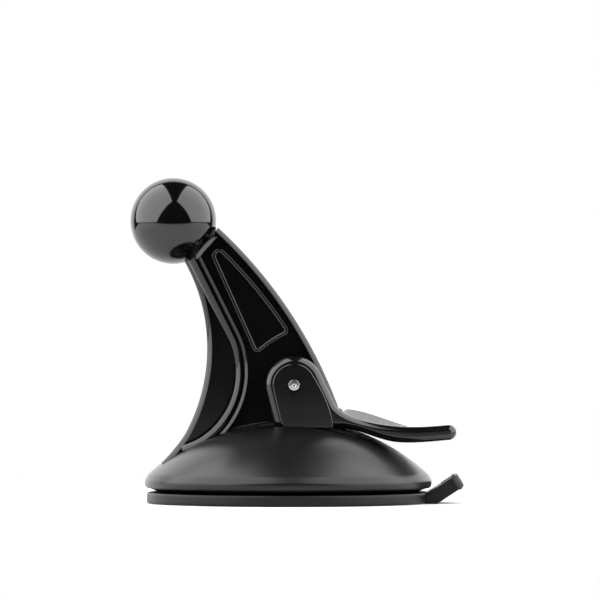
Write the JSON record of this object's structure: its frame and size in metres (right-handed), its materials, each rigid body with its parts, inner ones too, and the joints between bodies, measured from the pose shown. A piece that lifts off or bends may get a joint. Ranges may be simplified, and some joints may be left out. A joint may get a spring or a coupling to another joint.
{
  "type": "car phone mount",
  "caption": "Suction-cup base of a car phone mount: a cam lever draws the cup up into a dome, and a curved ribbed arm carries a ball for a socket holder.",
  "frame": {"origin": "centre of the suction face, on the glass", "axes": "+Z away from the glass along the cup's axis, +X towards the lever's handle and the pull tab"},
  "size_m": [0.0653, 0.056, 0.0635],
  "materials": {
    "gloss_abs": "high gloss black ABS",
    "satin_abs": "satin black ABS",
    "lever_abs": "fine-grained black ABS",
    "acetal": "natural acetal",
    "cup_pvc": "soft black PVC",
    "steel": "bright turned steel"
  },
  "bodies": {
    "cup": {"suction_disc": "cup_pvc", "stem": "acetal", "pivot_pin": "steel", "return_spring": "steel"},
    "housing": {"dome": "satin_abs", "arm": "gloss_abs", "ball": "gloss_abs", "arm_screws": "steel"},
    "lever": {"lever": "lever_abs"}
  },
  "joints": [
    {"name": "lever_hinge", "type": "hinge", "parent": "cup", "child": "lever", "pos_m": [0.00115, 0, 0.02315], "axis": [0, -1, 0], "range_deg": [0, 80]},
    {"name": "housing_slide", "type": "slide", "parent": "cup", "child": "housing", "axis": [0, 0, 1], "range_m": [0, 0.00321], "deforming": ["return_spring"]}
  ],
  "couplings": [
    {"joint": "lever_hinge", "follows": "housing_slide", "rad_per_m": 434.78}
  ]
}
